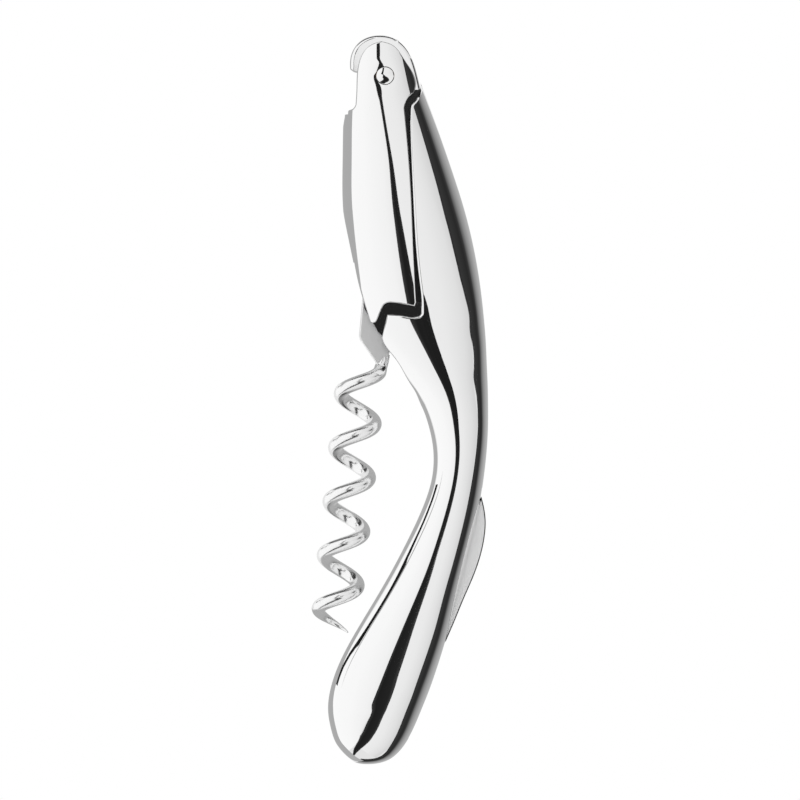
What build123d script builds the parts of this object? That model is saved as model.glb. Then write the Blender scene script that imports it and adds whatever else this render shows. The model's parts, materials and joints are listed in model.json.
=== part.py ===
from build123d import *
import os
from math import cos, pi, sin

# A waiter's-friend corkscrew, folded shut and lying on its side, in millimetres.
# +X points to the handle's bowed back, +Y to the lever pivot and cap hook, +Z up from the surface
# it lies on. Everything is symmetric about the middle plane z = MIDDLE, where the worm, the knife
# and the tongue lie. All three joints turn about Z.

# Handle casting: ellipses at stations along Y, each with its left edge, right edge and half height.
HANDLE_STATIONS = [
    (58.9, -8.95, 2.85, 5.5),
    (54.0, -8.85, 4.7, 5.95),
    (48.0, -8.95, 6.9, 6.35),
    (41.0, -9.15, 9.3, 6.7),
    (34.0, -9.4, 11.5, 6.95),
    (27.0, -9.6, 13.2, 7.08),
    (21.0, -9.5, 14.25, 7.1),
    (17.0, -9.1, 14.75, 7.06),
    (14.0, -8.15, 15.05, 7.0),
    (11.0, -6.15, 15.3, 6.92),
    (8.0, -3.55, 15.45, 6.83),
    (5.0, -0.85, 15.58, 6.73),
    (2.0, 1.8, 15.7, 6.62),
    (-1.0, 3.8, 15.75, 6.51),
    (-4.0, 4.95, 15.75, 6.42),
    (-9.0, 5.95, 15.5, 6.3),
    (-14.0, 5.7, 14.95, 6.25),
    (-19.0, 4.15, 14.15, 6.27),
    (-25.0, 1.4, 12.8, 6.4),
    (-31.0, -1.75, 11.25, 6.6),
    (-37.0, -5.25, 9.7, 6.8),
    (-43.0, -8.8, 8.15, 6.98),
    (-48.0, -11.25, 6.6, 7.1),
    (-52.0, -12.5, 5.2, 7.15),
    (-55.5, -12.85, 3.8, 7.02),
    (-58.65, -12.35, 2.45, 6.6),
    (-61.15, -11.5, 1.1, 6.0),
    (-62.95, -10.15, -0.3, 5.1),
    (-64.2, -8.8, -1.9, 3.9),
    (-64.8, -7.75, -3.55, 2.6),
    (-65.0, -6.9, -5.1, 1.1),
]
# The lever is cut from a crowned blank of its own, which runs on flush from the handle's.
LEVER_STATIONS = [
    (66.05, -8.35, 1.65, 4.9),
    (63.4, -8.8, 2.55, 5.2),
    (60.7, -9.15, 3.25, 5.45),
    (57.5, -9.5, 4.05, 5.7),
    (53.55, -9.9, 5.15, 6.0),
    (49.1, -10.15, 6.65, 6.3),
    (42.85, -10.25, 8.6, 6.65),
    (35.7, -10.25, 10.05, 6.9),
    (29.45, -9.7, 11.3, 7.05),
    (24.1, -8.9, 12.2, 7.1),
    (18.7, -7.8, 12.9, 7.1),
    (12.45, -6.1, 13.45, 7.1),
]
MIDDLE = max(half for _, _, _, half in HANDLE_STATIONS)

# Plan outlines of the handle. The nest is what is cut away for the lever, round the nose to the bay.
NEST_CORNER = (3.8, 14.9)
NEST_CORNER_RADIUS = 0.6
NEST_BEND = (3.8, 17.8)
NEST_BEND_RADIUS = 3.0
NEST_EDGE = [(3.65, 55.15), (2.75, 53.4), (2.0, 52.5), (1.75, 51.6), (1.9, 44.65), (2.75, 26.75)]
NOSE_TOP = [(2.2, 14.65), (-0.3, 15.05), (-2.25, 15.15)]
NOSE_SIDE = [
    (-2.65, 13.35),
    (-3.0, 11.95),
    (-3.1, 10.7),
    (-2.65, 9.8),
    (-1.9, 8.7),
    (-0.85, 7.45),
    (0.05, 6.05),
    (0.95, 4.4),
    (2.0, 2.65),
    (2.8, 1.35),
    (3.42, -0.1),
    (3.8, -1.0),
]
NOSE_FOOT = (3.0, -1.6)
HOOK_CURVE = [
    (-8.9, 59.2),
    (-8.9, 60.4),
    (-8.35, 62.4),
    (-7.2, 63.85),
    (-5.5, 64.75),
    (-3.15, 65.0),
    (-1.05, 64.5),
    (0.75, 63.1),
    (2.0, 61.15),
    (2.8, 58.9),
    (3.65, 55.4),
]
TONGUE_BACK = [(5.75, 44.65), (7.2, 32.1), (8.25, 17.8), (6.5, 11.55), (0.05, 10.3), (-2.6, 11.3)]
TONGUE_FRONT = [
    (-3.7, 11.75),
    (-4.75, 13.7),
    (-6.35, 16.3),
    (-6.55, 17.8),
    (-6.55, 25.85),
    (-7.35, 33.0),
    (-7.6, 39.25),
    (-7.6, 58.75),
    (-8.6, 58.75),
]
WORM_SLOT_OUTLINE = [
    (-3.9, 40.7),
    (0.05, 40.7),
    (0.75, 19.6),
    (0.75, 9.8),
    (0.2, 6.4),
    (-10.7, 6.4),
    (-10.7, 23.9),
    (-4.8, 23.9),
    (-4.6, 35.7),
]
KNIFE_SLOT_OUTLINE = [
    (18.0, -15.05),
    (12.55, -16.15),
    (11.1, -20.6),
    (8.6, -29.55),
    (5.4, -37.95),
    (0.4, -40.45),
    (-0.65, -42.95),
    (-1.75, -53.65),
    (-1.4, -57.95),
    (0.8, -58.6),
    (1.6, -60.5),
    (18.0, -60.5),
]

# Plan outline of the lever, from its round head down the handle's side and back up the flank.
LEVER_HEAD = [
    (-7.75, 55.0),
    (-7.5, 59.3),
    (-6.75, 61.5),
    (-5.3, 63.05),
    (-3.35, 63.75),
    (-1.2, 63.05),
    (0.75, 60.7),
    (2.0, 58.85),
    (2.75, 57.15),
    (2.85, 55.9),
    (2.35, 54.55),
]
LEVER_THROAT = [(2.35, 54.55), (1.25, 53.35), (0.8, 51.8)]
LEVER_SIDE = [(0.8, 51.8), (1.45, 44.65), (2.0, 35.7), (2.35, 26.75), (2.85, 17.3)]
CLAW_ROOT = (-2.75, 17.3)
CLAW_ROOT_RADIUS = 0.9
CLAW_MOUTH = [(2.85, 17.3), (2.6, 16.65), (-1.4, 17.3), CLAW_ROOT, (-4.1, 14.3)]
CLAW_TIP = (-4.8, 13.75)
LEVER_FLANK = [
    (-5.35, 14.25),
    (-6.55, 17.8),
    (-7.75, 22.1),
    (-9.15, 28.55),
    (-10.3, 35.0),
    (-10.5, 42.85),
    (-10.2, 48.5),
    (-9.85, 50.5),
]
LEVER_SHOULDER = [(-9.85, 50.5), (-9.65, 51.3), (-9.1, 51.6), (-8.3, 51.9), (-7.9, 52.5), (-7.75, 55.0)]

# Plan outlines of the worm's lug and of the knife blade.
LUG_OUTLINE = [
    (-6.55, 19.95),
    (-6.7, 18.35),
    (-7.35, 11.05),
    (-4.4, 6.75),
    (-3.55, 5.3),
    (-2.2, 6.3),
    (-2.0, 8.2),
    (-1.05, 10.7),
    (-0.6, 17.8),
    (-0.6, 19.95),
]
BLADE_BACK = [
    (14.55, -17.25),
    (15.0, -19.15),
    (15.3, -21.65),
    (15.15, -24.15),
    (14.5, -27.4),
    (13.4, -30.8),
    (11.35, -35.6),
    (9.85, -39.25),
    (8.25, -42.95),
]
BLADE_TANG = [(8.25, -42.95), (6.4, -45.7), (2.2, -42.7), (4.6, -41.2), (5.75, -39.35)]
BLADE_FRONT = [(5.75, -39.35), (7.55, -35.8), (10.25, -28.65), (12.2, -22.4), (14.55, -17.25)]

# Cutters run out past the metal to these lines.
CUT_LEFT = -20.0
CUT_RIGHT = 10.0
CUT_TOP = 70.0
CUT_BOTTOM = 5.0
CUT_MARGIN = 1.0

# Pivot centres in plan.
LEVER_PIVOT = (-2.65, 57.6)
WORM_PIVOT = (-3.55, 19.95)
KNIFE_PIVOT = (4.15, -44.35)

# Plates that stack up at the middle plane, and the play between their flat faces.
TONGUE_THICKNESS = 4.8
LUG_THICKNESS = 1.9
BLADE_THICKNESS = 1.4
LEVER_WASHER_THICKNESS = 0.25
SLOT_WASHER_THICKNESS = 0.22
FACE_PLAY = 0.03

# Pins and their running fits.
LEVER_PIN_RADIUS = 1.55
LEVER_SCREW_RADIUS = 0.9
WORM_PIN_RADIUS = 1.0
KNIFE_PIN_RADIUS = 1.0
SPRING_PIN_RADIUS = 0.6
RUNNING_FIT = 0.04
SEATED_FIT = 0.01
HEAD_CROWN = 0.3
HEAD_PROUD = 0.1
BARREL_REACH = 0.9
SCREW_LENGTH = 5.5
BLIND_DEPTH = 3.9

# Washers.
LEVER_WASHER_RADIUS = 3.3
WORM_WASHER_RADIUS = 2.3
KNIFE_WASHER_RADIUS = 2.1

# Worm: a right-handed wire helix with a ground tip, forged out to a flat lug at its root.
WIRE_RADIUS = 1.25
WORM_RADIUS = 3.3
WORM_PITCH = 9.685
WORM_TURNS = 4.4
TIP_TURNS = 0.48
TIP_RADIUS = 0.12
TIP_SECTIONS = 9
TIP_CURVE = 1.4
WORM_START = (-6.8, 5.65)
WORM_END = (-11.83, -42.2)
WORM_ROOT = (-2.85, 7.3)

# Lever web, lug hub, knife tang and the leaf springs. Each leaf's foot is placed from its pivot.
WEB_THICKNESS = 1.6
WEB_TOP = 50.9
WEB_BOTTOM = 24.6
HUB_RADIUS = 3.0
TANG_RADIUS = 2.6
SPRING_GAP = 0.3
SPRING_LEAF = 0.6
SPRING_EYE_RADIUS = 1.1
WORM_SPRING_FOOT = (-0.95, 1.5)
WORM_SPRING_BEND = 0.85
WORM_SPRING_PIN = (-1.6, 38.2)
KNIFE_SPRING_RISE = 2.0
KNIFE_SPRING_PIN = (0.2, -55.1)

# Detent that holds the lever shut: a ball on a coil spring in the tongue, and its dimple.
DETENT_PLACE = (-4.0, 44.0)
BALL_RADIUS = 0.75
BALL_PROUD = 0.2
BALL_CLEARANCE = 0.05
DIMPLE_RADIUS = 1.0
COIL_WIRE_RADIUS = 0.12
COIL_PITCH = 0.5
COIL_TURNS = 3

cheek_half_gap = TONGUE_THICKNESS / 2 + LEVER_WASHER_THICKNESS + 2 * FACE_PLAY
worm_slot = LUG_THICKNESS + 2 * SLOT_WASHER_THICKNESS + 4 * FACE_PLAY
knife_slot = BLADE_THICKNESS + 2 * SLOT_WASHER_THICKNESS + 4 * FACE_PLAY
tongue_top = MIDDLE + TONGUE_THICKNESS / 2
tongue_bottom = MIDDLE - TONGUE_THICKNESS / 2
through = 2 * (MIDDLE + CUT_MARGIN)
pivot_station = min(LEVER_STATIONS, key=lambda station: abs(station[0] - LEVER_PIVOT[1]))
head_top = MIDDLE + pivot_station[3] + HEAD_PROUD
head_bottom = MIDDLE - pivot_station[3] - HEAD_PROUD
barrel_end = MIDDLE - cheek_half_gap - BARREL_REACH
dome_radius = (LEVER_PIN_RADIUS ** 2 + HEAD_CROWN ** 2) / (2 * HEAD_CROWN)
ball_height = tongue_top + BALL_PROUD - BALL_RADIUS
coil_radius = BALL_RADIUS - COIL_WIRE_RADIUS - BALL_CLEARANCE
coil_height = COIL_PITCH * COIL_TURNS + 2 * COIL_WIRE_RADIUS
detent_floor = ball_height - BALL_RADIUS - coil_height - 2 * FACE_PLAY


def centred(thickness):
    """The plane on which a plate of this thickness starts, so that it lies about the middle plane."""
    return Plane.XY.offset(MIDDLE - thickness / 2)


def washer(name, place, inner, outer, thickness, bottom):
    """A flat ring round a pin."""
    with BuildPart() as ring:
        with BuildSketch(Plane.XY.offset(bottom)):
            with Locations(place):
                Circle(outer)
                Circle(inner, mode=Mode.SUBTRACT)
        extrude(amount=thickness)
    ring.part.label = name
    return ring.part


# ---- Crowned blanks ----

def blank(stations):
    """A solid lofted through ellipses, each about its own centre at the middle plane."""
    with BuildPart() as lofted:
        for y, left, right, half in stations:
            with BuildSketch(Plane.XZ.offset(-y)):
                with BuildLine():
                    for quarter in range(4):
                        EllipticalCenterArc(
                            ((left + right) / 2, MIDDLE),
                            (right - left) / 2,
                            half,
                            start_angle=90 * quarter,
                            arc_size=90,
                        )
                make_face()
        loft()
    return lofted.part


handle_blank = blank(HANDLE_STATIONS)
lever_blank = blank(LEVER_STATIONS)

# ---- Handle body: one polished casting with its tongue, cap hook and slots ----

with BuildPart() as handle_body:
    add(handle_blank)
    # The step that the lever nests in, cut through both faces.
    with BuildSketch() as nest:
        with BuildLine():
            Polyline(
                (NEST_EDGE[0][0], CUT_TOP),
                *NEST_EDGE,
                NEST_BEND,
                NEST_CORNER,
                *NOSE_TOP,
                *NOSE_SIDE,
                NOSE_FOOT,
                (CUT_LEFT, NOSE_FOOT[1]),
                (CUT_LEFT, CUT_TOP),
                close=True,
            )
        make_face()
        fillet(nest.vertices().sort_by_distance(NEST_CORNER)[0], radius=NEST_CORNER_RADIUS)
        fillet(nest.vertices().sort_by_distance(NEST_BEND)[0], radius=NEST_BEND_RADIUS)
    extrude(amount=through, mode=Mode.SUBTRACT)
    # The tongue that carries the lever and the worm; its top end curls over into the cap hook.
    with BuildSketch(centred(TONGUE_THICKNESS)) as tongue:
        with BuildLine():
            Spline(HOOK_CURVE)
            Polyline(HOOK_CURVE[-1], *TONGUE_BACK, *TONGUE_FRONT, HOOK_CURVE[0])
        make_face()
    extrude(amount=TONGUE_THICKNESS)
    # Slot for the worm's lug and leaf spring, open at the nose.
    with BuildSketch(centred(worm_slot)):
        with BuildLine():
            Polyline(*WORM_SLOT_OUTLINE, close=True)
        make_face()
    extrude(amount=worm_slot, mode=Mode.SUBTRACT)
    # Slot for the knife, open along the back, and the pocket for its leaf spring.
    with BuildSketch(centred(knife_slot)):
        with BuildLine():
            Polyline(*KNIFE_SLOT_OUTLINE, close=True)
        make_face()
    extrude(amount=knife_slot, mode=Mode.SUBTRACT)
    # Holes for the pins in the tongue go right through it.
    with BuildSketch(centred(TONGUE_THICKNESS + 2 * FACE_PLAY)):
        with Locations(LEVER_PIVOT):
            Circle(LEVER_PIN_RADIUS + SEATED_FIT)
        with Locations(WORM_PIVOT):
            Circle(WORM_PIN_RADIUS + SEATED_FIT)
        with Locations(WORM_SPRING_PIN):
            Circle(SPRING_PIN_RADIUS + SEATED_FIT)
    extrude(amount=TONGUE_THICKNESS + 2 * FACE_PLAY, mode=Mode.SUBTRACT)
    # The knife's two pins come in from underneath and end blind below the polished top.
    with BuildSketch():
        with Locations(KNIFE_PIVOT):
            Circle(KNIFE_PIN_RADIUS + SEATED_FIT)
        with Locations(KNIFE_SPRING_PIN):
            Circle(SPRING_PIN_RADIUS + SEATED_FIT)
    extrude(amount=MIDDLE + BLIND_DEPTH, mode=Mode.SUBTRACT)
    # Blind hole for the detent ball and its coil spring.
    with BuildSketch(Plane.XY.offset(detent_floor)):
        with Locations(DETENT_PLACE):
            Circle(BALL_RADIUS + BALL_CLEARANCE)
    extrude(amount=tongue_top - detent_floor + FACE_PLAY, mode=Mode.SUBTRACT)
handle_body.part.label = "handle_body"

# ---- Boot lever: two crowned cheeks joined by a web along the flank, forked at the claw end ----

web_wall = [(x + WEB_THICKNESS, y) for x, y in LEVER_FLANK if WEB_BOTTOM < y < WEB_TOP]

with BuildPart() as lever:
    add(lever_blank)
    with BuildSketch() as lever_outline:
        with BuildLine():
            Spline(LEVER_HEAD)
            Spline(LEVER_THROAT)
            Spline(LEVER_SIDE)
            Polyline(CLAW_MOUTH)
            ThreePointArc(CLAW_MOUTH[-1], CLAW_TIP, LEVER_FLANK[0])
            Spline(LEVER_FLANK)
            Spline(LEVER_SHOULDER)
        make_face()
        fillet(lever_outline.vertices().sort_by_distance(CLAW_ROOT)[0], radius=CLAW_ROOT_RADIUS)
    extrude(amount=through, mode=Mode.INTERSECT)
    # Channel for the tongue. The web is left between its two ends only.
    with BuildSketch(centred(2 * cheek_half_gap)):
        with BuildLine():
            Polyline(
                (CUT_LEFT, CUT_TOP),
                (CUT_LEFT, WEB_TOP),
                (web_wall[-1][0], WEB_TOP),
                *reversed(web_wall),
                (web_wall[0][0] + SPRING_GAP, WEB_BOTTOM),
                (CUT_LEFT, WEB_BOTTOM),
                (CUT_LEFT, CUT_BOTTOM),
                (CUT_RIGHT, CUT_BOTTOM),
                (CUT_RIGHT, CUT_TOP),
                close=True,
            )
        make_face()
    extrude(amount=2 * cheek_half_gap, mode=Mode.SUBTRACT)
    with BuildSketch():
        with Locations(LEVER_PIVOT):
            Circle(LEVER_PIN_RADIUS + RUNNING_FIT)
    extrude(amount=through, mode=Mode.SUBTRACT)
    with Locations((*DETENT_PLACE, ball_height)):
        Sphere(DIMPLE_RADIUS, mode=Mode.SUBTRACT)
lever.part.label = "lever"

# ---- Lever pivot: a barrel nut and a screw, their domed heads flush with the cheeks ----

with BuildPart() as lever_pivot_barrel:
    with BuildSketch(Plane.XY.offset(barrel_end)):
        with Locations(LEVER_PIVOT):
            Circle(LEVER_PIN_RADIUS)
    extrude(amount=head_top - barrel_end)
    with Locations((*LEVER_PIVOT, head_top - dome_radius)):
        Sphere(dome_radius, mode=Mode.INTERSECT)
    with BuildSketch(Plane.XY.offset(barrel_end)):
        with Locations(LEVER_PIVOT):
            Circle(LEVER_SCREW_RADIUS + SEATED_FIT)
    extrude(amount=SCREW_LENGTH + FACE_PLAY, mode=Mode.SUBTRACT)
lever_pivot_barrel.part.label = "lever_pivot_barrel"

with BuildPart() as lever_pivot_screw:
    with BuildSketch(Plane.XY.offset(head_bottom)):
        with Locations(LEVER_PIVOT):
            Circle(LEVER_PIN_RADIUS)
    extrude(amount=barrel_end - head_bottom)
    with Locations((*LEVER_PIVOT, head_bottom + dome_radius)):
        Sphere(dome_radius, mode=Mode.INTERSECT)
    with BuildSketch(Plane.XY.offset(barrel_end)):
        with Locations(LEVER_PIVOT):
            Circle(LEVER_SCREW_RADIUS)
    extrude(amount=SCREW_LENGTH)
lever_pivot_screw.part.label = "lever_pivot_screw"

lever_washer_upper = washer(
    "lever_washer_upper",
    LEVER_PIVOT,
    LEVER_PIN_RADIUS + RUNNING_FIT,
    LEVER_WASHER_RADIUS,
    LEVER_WASHER_THICKNESS,
    tongue_top + FACE_PLAY,
)
lever_washer_lower = washer(
    "lever_washer_lower",
    LEVER_PIVOT,
    LEVER_PIN_RADIUS + RUNNING_FIT,
    LEVER_WASHER_RADIUS,
    LEVER_WASHER_THICKNESS,
    tongue_bottom - FACE_PLAY - LEVER_WASHER_THICKNESS,
)

# ---- Detent ----

with BuildPart() as detent_ball:
    with Locations((*DETENT_PLACE, ball_height)):
        Sphere(BALL_RADIUS)
detent_ball.part.label = "detent_ball"

with BuildPart() as detent_spring:
    with BuildLine(Plane((*DETENT_PLACE, detent_floor + COIL_WIRE_RADIUS + FACE_PLAY))) as coil:
        Helix(COIL_PITCH, COIL_PITCH * COIL_TURNS, coil_radius)
    with BuildSketch(Plane(origin=coil.line @ 0, z_dir=coil.line % 0)):
        Circle(COIL_WIRE_RADIUS)
    sweep(is_frenet=True)
detent_spring.part.label = "detent_spring"

# ---- Worm ----

worm_axis = Vector(*WORM_END) - Vector(*WORM_START)
worm_plane = Plane(
    origin=(*WORM_START, MIDDLE),
    x_dir=(-worm_axis.Y, worm_axis.X, 0),
    z_dir=(worm_axis.X, worm_axis.Y, 0),
)


def worm_section(turn):
    """The plane across the wire after this many turns from the root."""
    angle = 2 * pi * turn
    rise = WORM_PITCH / (2 * pi)
    outward = Vector(cos(angle), sin(angle), 0)
    place = outward * WORM_RADIUS + Vector(0, 0, rise * angle)
    along = Vector(-sin(angle) * WORM_RADIUS, cos(angle) * WORM_RADIUS, rise)
    return Plane(
        origin=worm_plane.from_local_coords(place),
        x_dir=worm_plane.from_local_coords(outward) - worm_plane.origin,
        z_dir=worm_plane.from_local_coords(along) - worm_plane.origin,
    )


wire_path = worm_plane * Helix(WORM_PITCH, WORM_PITCH * WORM_TURNS, WORM_RADIUS)
root_start = worm_section(0).origin
root_end = Vector(*WORM_ROOT, MIDDLE)

with BuildPart() as worm:
    # Wire.
    with BuildSketch(worm_section(0)):
        Circle(WIRE_RADIUS)
    sweep(path=wire_path, is_frenet=True)
    with Locations(worm_section(0).location):
        Sphere(WIRE_RADIUS)
    # Root, which thins down into the lug.
    with BuildSketch(Plane(origin=root_start, z_dir=root_end - root_start)):
        Circle(WIRE_RADIUS)
    with BuildSketch(Plane(origin=root_end, z_dir=root_end - root_start)):
        Circle(LUG_THICKNESS / 2)
    loft()
    # Ground tip.
    for step in range(TIP_SECTIONS):
        share = step / (TIP_SECTIONS - 1)
        with BuildSketch(worm_section(WORM_TURNS + TIP_TURNS * share)):
            Circle(WIRE_RADIUS + (TIP_RADIUS - WIRE_RADIUS) * share ** TIP_CURVE)
    loft()
    # Flat lug, with its hub round the pivot.
    with BuildSketch(centred(LUG_THICKNESS)):
        with BuildLine():
            Polyline(*LUG_OUTLINE, close=True)
        make_face()
        with Locations(WORM_PIVOT):
            Circle(HUB_RADIUS)
            Circle(WORM_PIN_RADIUS + RUNNING_FIT, mode=Mode.SUBTRACT)
    extrude(amount=LUG_THICKNESS)
worm.part.label = "worm"

with BuildPart() as worm_pivot_pin:
    with BuildSketch(centred(TONGUE_THICKNESS)):
        with Locations(WORM_PIVOT):
            Circle(WORM_PIN_RADIUS)
    extrude(amount=TONGUE_THICKNESS)
worm_pivot_pin.part.label = "worm_pivot_pin"

worm_washer_upper = washer(
    "worm_washer_upper",
    WORM_PIVOT,
    WORM_PIN_RADIUS + RUNNING_FIT,
    WORM_WASHER_RADIUS,
    SLOT_WASHER_THICKNESS,
    MIDDLE + LUG_THICKNESS / 2 + FACE_PLAY,
)
worm_washer_lower = washer(
    "worm_washer_lower",
    WORM_PIVOT,
    WORM_PIN_RADIUS + RUNNING_FIT,
    WORM_WASHER_RADIUS,
    SLOT_WASHER_THICKNESS,
    MIDDLE - LUG_THICKNESS / 2 - FACE_PLAY - SLOT_WASHER_THICKNESS,
)

spring_foot = WORM_PIVOT[1] + HUB_RADIUS + SPRING_GAP

with BuildPart() as worm_spring:
    with BuildSketch(centred(LUG_THICKNESS)):
        with BuildLine():
            Polyline(
                (WORM_PIVOT[0] + WORM_SPRING_FOOT[0], spring_foot),
                (WORM_PIVOT[0] + WORM_SPRING_FOOT[1], spring_foot),
                (WORM_SPRING_PIN[0] + SPRING_LEAF / 2, WORM_SPRING_PIN[1]),
                (WORM_SPRING_PIN[0] - SPRING_LEAF / 2, WORM_SPRING_PIN[1]),
                (WORM_PIVOT[0] + WORM_SPRING_BEND, spring_foot + SPRING_LEAF),
                (WORM_PIVOT[0] + WORM_SPRING_FOOT[0], spring_foot + SPRING_LEAF),
                close=True,
            )
        make_face()
        with Locations(WORM_SPRING_PIN):
            Circle(SPRING_EYE_RADIUS)
            Circle(SPRING_PIN_RADIUS + SEATED_FIT, mode=Mode.SUBTRACT)
    extrude(amount=LUG_THICKNESS)
worm_spring.part.label = "worm_spring"

with BuildPart() as worm_spring_pin:
    with BuildSketch(centred(TONGUE_THICKNESS)):
        with Locations(WORM_SPRING_PIN):
            Circle(SPRING_PIN_RADIUS)
    extrude(amount=TONGUE_THICKNESS)
worm_spring_pin.part.label = "worm_spring_pin"

# ---- Knife ----

with BuildPart() as knife_blade:
    with BuildSketch(centred(BLADE_THICKNESS)):
        with BuildLine():
            Spline(BLADE_BACK)
            Polyline(BLADE_TANG)
            Spline(BLADE_FRONT)
        make_face()
        with Locations(KNIFE_PIVOT):
            Circle(TANG_RADIUS)
            Circle(KNIFE_PIN_RADIUS + RUNNING_FIT, mode=Mode.SUBTRACT)
    extrude(amount=BLADE_THICKNESS)
knife_blade.part.label = "knife_blade"

with BuildPart() as knife_pivot_pin:
    with BuildSketch():
        with Locations(KNIFE_PIVOT):
            Circle(KNIFE_PIN_RADIUS)
    extrude(amount=MIDDLE + BLIND_DEPTH - FACE_PLAY)
    add(handle_blank, mode=Mode.INTERSECT)
knife_pivot_pin.part.label = "knife_pivot_pin"

knife_washer_upper = washer(
    "knife_washer_upper",
    KNIFE_PIVOT,
    KNIFE_PIN_RADIUS + RUNNING_FIT,
    KNIFE_WASHER_RADIUS,
    SLOT_WASHER_THICKNESS,
    MIDDLE + BLADE_THICKNESS / 2 + FACE_PLAY,
)
knife_washer_lower = washer(
    "knife_washer_lower",
    KNIFE_PIVOT,
    KNIFE_PIN_RADIUS + RUNNING_FIT,
    KNIFE_WASHER_RADIUS,
    SLOT_WASHER_THICKNESS,
    MIDDLE - BLADE_THICKNESS / 2 - FACE_PLAY - SLOT_WASHER_THICKNESS,
)

spring_back = KNIFE_PIVOT[0] - TANG_RADIUS - SPRING_GAP

with BuildPart() as knife_spring:
    with BuildSketch(centred(BLADE_THICKNESS)):
        with BuildLine():
            Polyline(
                (spring_back, KNIFE_PIVOT[1] + KNIFE_SPRING_RISE),
                (spring_back - SPRING_LEAF, KNIFE_PIVOT[1] + KNIFE_SPRING_RISE),
                (KNIFE_SPRING_PIN[0] - SPRING_LEAF / 2, KNIFE_SPRING_PIN[1]),
                (KNIFE_SPRING_PIN[0] + SPRING_LEAF / 2, KNIFE_SPRING_PIN[1]),
                close=True,
            )
        make_face()
        with Locations(KNIFE_SPRING_PIN):
            Circle(SPRING_EYE_RADIUS)
            Circle(SPRING_PIN_RADIUS + SEATED_FIT, mode=Mode.SUBTRACT)
    extrude(amount=BLADE_THICKNESS)
knife_spring.part.label = "knife_spring"

with BuildPart() as knife_spring_pin:
    with BuildSketch():
        with Locations(KNIFE_SPRING_PIN):
            Circle(SPRING_PIN_RADIUS)
    extrude(amount=MIDDLE + BLIND_DEPTH - FACE_PLAY)
    add(handle_blank, mode=Mode.INTERSECT)
knife_spring_pin.part.label = "knife_spring_pin"

# ---- One STEP file for each piece ----

os.makedirs("parts", exist_ok=True)
export_step(handle_body.part, "parts/handle_body.step")
export_step(lever.part, "parts/lever.step")
export_step(lever_pivot_barrel.part, "parts/lever_pivot_barrel.step")
export_step(lever_pivot_screw.part, "parts/lever_pivot_screw.step")
export_step(lever_washer_upper, "parts/lever_washer_upper.step")
export_step(lever_washer_lower, "parts/lever_washer_lower.step")
export_step(detent_ball.part, "parts/detent_ball.step")
export_step(detent_spring.part, "parts/detent_spring.step")
export_step(worm.part, "parts/worm.step")
export_step(worm_pivot_pin.part, "parts/worm_pivot_pin.step")
export_step(worm_washer_upper, "parts/worm_washer_upper.step")
export_step(worm_washer_lower, "parts/worm_washer_lower.step")
export_step(worm_spring.part, "parts/worm_spring.step")
export_step(worm_spring_pin.part, "parts/worm_spring_pin.step")
export_step(knife_blade.part, "parts/knife_blade.step")
export_step(knife_pivot_pin.part, "parts/knife_pivot_pin.step")
export_step(knife_washer_upper, "parts/knife_washer_upper.step")
export_step(knife_washer_lower, "parts/knife_washer_lower.step")
export_step(knife_spring.part, "parts/knife_spring.step")
export_step(knife_spring_pin.part, "parts/knife_spring_pin.step")
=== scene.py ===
import json
from math import radians, tau

import bpy
import numpy as np
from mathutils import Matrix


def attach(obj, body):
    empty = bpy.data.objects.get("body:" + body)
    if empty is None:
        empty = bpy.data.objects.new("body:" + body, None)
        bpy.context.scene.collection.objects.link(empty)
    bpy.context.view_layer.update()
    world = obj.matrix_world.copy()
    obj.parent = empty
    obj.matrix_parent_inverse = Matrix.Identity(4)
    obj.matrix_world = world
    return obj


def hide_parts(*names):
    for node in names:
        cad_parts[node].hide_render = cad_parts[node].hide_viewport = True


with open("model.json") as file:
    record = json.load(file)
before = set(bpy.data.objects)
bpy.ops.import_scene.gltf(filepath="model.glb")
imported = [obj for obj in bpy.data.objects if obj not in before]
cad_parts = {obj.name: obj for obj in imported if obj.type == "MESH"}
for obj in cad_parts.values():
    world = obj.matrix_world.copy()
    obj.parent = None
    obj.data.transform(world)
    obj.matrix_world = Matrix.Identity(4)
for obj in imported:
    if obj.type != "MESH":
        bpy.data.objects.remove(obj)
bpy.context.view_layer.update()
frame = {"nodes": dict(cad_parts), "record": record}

# Sizes and places are in millimetres, and become metres where a mesh is made.
MM = 0.001

# Height of the plane about which the tool is the same above and below.
MIDDLE = 7.15

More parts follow.
